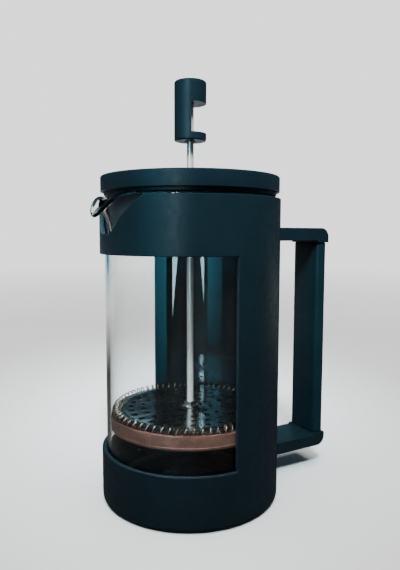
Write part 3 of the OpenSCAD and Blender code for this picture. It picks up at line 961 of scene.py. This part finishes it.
def build_floor():
    """Pale, and clear far out, so that no horizon shows. In reflections it is dim round the press."""
    half = 3.0
    corners = [(-half, -half, 0), (half, -half, 0), (half, half, 0), (-half, half, 0)]
    floor = mesh_object("floor", corners, [(0, 1, 2, 3)])
    n = Nodes("floor_paint")
    pale = n.blend(n.spread(n.noise(3, 4), 0, 1), (0.70, 0.70, 0.70), (0.73, 0.73, 0.725))
    far_behind = n.spread(n.vector_math("DOT_PRODUCT", n.place, BEHIND), 0, 1, 0.25, 0.7)
    dim = n.blend(far_behind, (0.03, 0.026, 0.024), (0.6, 0.6, 0.6))
    paint = n.surface(Base_Color=n.blend(n.mirrored(), pale, dim), Roughness=0.75)
    far_out = n.spread(n.vector_math("LENGTH", n.place), 0, 1, 0.7, 2.6)
    n.mixed_surface(far_out, paint, n.node("ShaderNodeBsdfTransparent"))
    floor.data.materials.append(n.mat)


def glow_sheet(name, bearing, away, outline, colour, strong, weak, low_z, high_z):
    """A sheet of light that only shows in reflections. It stands at a bearing in degrees, away from the
    axis. The outline is [degrees from the bearing, height]: it glows strongly on its first side, weakly
    on the other, and fades in from low_z to high_z."""
    reach = away * math.tan(math.radians(max(abs(a) for a, z in outline)))
    verts = [(away * math.tan(math.radians(a)), z, 0) for a, z in outline]
    sheet = mesh_object(name, verts, [range(len(verts))])
    n = Nodes(name + "_glow")
    x, y, z = n.parts()
    across = n.spread(x, weak, strong, -reach, reach)
    up = n.spread(y, 0.0, 1.0, low_z, high_z)
    glow = n.node("ShaderNodeEmission", Color=(*colour, 1), Strength=n.math("MULTIPLY", across, up))
    n.mixed_surface(n.mirrored(), n.node("ShaderNodeBsdfTransparent"), glow)
    sheet.data.materials.append(n.mat)
    turn = math.radians(bearing)
    out = Vector((math.cos(turn), math.sin(turn), 0))
    right = Vector((-out.y, out.x, 0))
    spin = Matrix((right, (0, 0, 1), out)).transposed().to_4x4()
    sheet.matrix_world = Matrix.Translation(away * out) @ spin
    for kind in ("camera", "diffuse", "shadow"):
        setattr(sheet, "visible_" + kind, False)


def build_sheets():
    """The two tall lights that the glass mirrors: a broad blue-green one and a bright slanted window."""
    eye = 270 - math.degrees(EYE_TURN)
    half, top = 12.5, 0.6
    glow_sheet("left_sheet", eye - 41, 0.34, [(half, 0), (half, top), (-half, top), (-half, 0)],
               (0.16, 0.70, 1.0), 2.3, 1.0, -0.03, 0.2)
    half, top = 3.5, 0.62
    glow_sheet("window", eye - 18.5, 0.68, [(-half, 0.02), (-half, top), (half, top), (half, 0.13)],
               (0.54, 0.87, 1.0), 11.0, 11.0, -0.05, -0.04)


def build_room():
    """A pale backdrop on a straight look. What surfaces mirror is a dim room with a bright wall behind
    the press, which lies low so that the flat filter doesn't mirror it."""
    world = bpy.data.worlds.new("studio")
    bpy.context.scene.world = world
    world.use_nodes = True
    tree = world.node_tree
    link = tree.links.new
    room = tree.nodes["Background"]
    room.inputs["Color"].default_value = (0.42, 0.82, 1.0, 1)
    behind = tree.nodes.new("ShaderNodeVectorMath")
    behind.operation = "DOT_PRODUCT"
    behind.inputs[1].default_value = (Vector(BEHIND) + Vector((0, 0, -0.46))).normalized()
    link(tree.nodes.new("ShaderNodeTexCoord").outputs["Generated"], behind.inputs[0])
    wall = tree.nodes.new("ShaderNodeMapRange")
    for key, value in (("From Min", 0.77), ("From Max", 0.88), ("To Min", 0.09), ("To Max", 1.5)):
        wall.inputs[key].default_value = value
    link(behind.outputs["Value"], wall.inputs["Value"])
    link(wall.outputs[0], room.inputs["Strength"])
    backdrop = tree.nodes.new("ShaderNodeBackground")
    backdrop.inputs["Color"].default_value = (0.985, 0.99, 1.0, 1)
    backdrop.inputs["Strength"].default_value = 1.75
    path = tree.nodes.new("ShaderNodeLightPath")
    mirrored = tree.nodes.new("ShaderNodeMath")
    mirrored.use_clamp = True
    link(path.outputs["Diffuse Depth"], mirrored.inputs[0])
    link(path.outputs["Glossy Depth"], mirrored.inputs[1])
    mix = tree.nodes.new("ShaderNodeMixShader")
    for i, socket in enumerate((mirrored.outputs[0], backdrop.outputs[0], room.outputs[0])):
        link(socket, mix.inputs[i])
    link(mix.outputs[0], tree.nodes["World Output"].inputs[0])


def add_lamp(name, kind, energy, colour, place, target):
    """A lamp that lights surfaces but isn't mirrored by them."""
    lamp = bpy.data.lights.new(name, kind)
    lamp.energy = energy
    lamp.color = colour
    obj = add_object(name, lamp)
    obj.visible_glossy = False
    obj.location = place
    obj.rotation_euler = (Vector(target) - Vector(place)).to_track_quat("-Z", "Y").to_euler()
    return lamp


def build_lamps():
    """One broad lamp from high in front, and a soft spot on the knob and lid."""
    sun = add_lamp("high_lamp", "SUN", 5.2, (1, 0.985, 0.96), (-0.22, -0.28, 1.5), (0, 0, 0))
    sun.angle = math.radians(50)
    spot = add_lamp("upper_lamp", "SPOT", 165, (0.8, 0.93, 1.0), (-0.22, -0.46, 0.80), (0, 0, 0.21))
    spot.spot_size = math.radians(22)
    spot.spot_blend = 1.0
    spot.shadow_soft_size = 0.12


def build_camera():
    """The eye's place and lens come from the sizes that the lid, band and base show in the picture."""
    away, height = 6.0915 * SLEEVE_R, 2.9612 * SLEEVE_R
    pitch, yaw, roll = 0.0932, 0.0182, 0.0023
    place = Vector((-away * math.sin(EYE_TURN), -away * math.cos(EYE_TURN), height))
    turn = EYE_TURN + yaw
    look = Vector((math.sin(turn) * math.cos(pitch), math.cos(turn) * math.cos(pitch), -math.sin(pitch)))
    data = bpy.data.cameras.new("camera")
    data.sensor_fit = "VERTICAL"
    data.sensor_height = 36
    data.lens = 34.22
    data.clip_start = 0.01
    obj = add_object("camera", data)
    right = Vector((math.cos(turn), -math.sin(turn), 0))
    up = right.cross(look)
    right, up = (right * math.cos(roll) + up * math.sin(roll), up * math.cos(roll) - right * math.sin(roll))
    spin = Matrix((right, up, -look)).transposed().to_4x4()
    obj.matrix_world = Matrix.Translation(place) @ spin
    bpy.context.scene.camera = obj


build_camera()
build_floor()
build_room()
build_lamps()
build_sheets()
build_sleeve()
build_handle()
build_grip()
build_beaker()
build_lid()
build_liner()
build_rod()
build_knob()
build_spring()
build_mesh_screen()
build_plate()
build_hub_nut()
dress("handle_screws", SCREW)
dress("base_cushion", SILICONE)
dress("non_slip_pad", RUBBER)
dress("lid_bush", BUSH)
dress("bush_clip", SCREW)
dress("knob_insert", BRASS)
dress("cross_plate", PLATE)
dress("threaded_boss", BRASS)
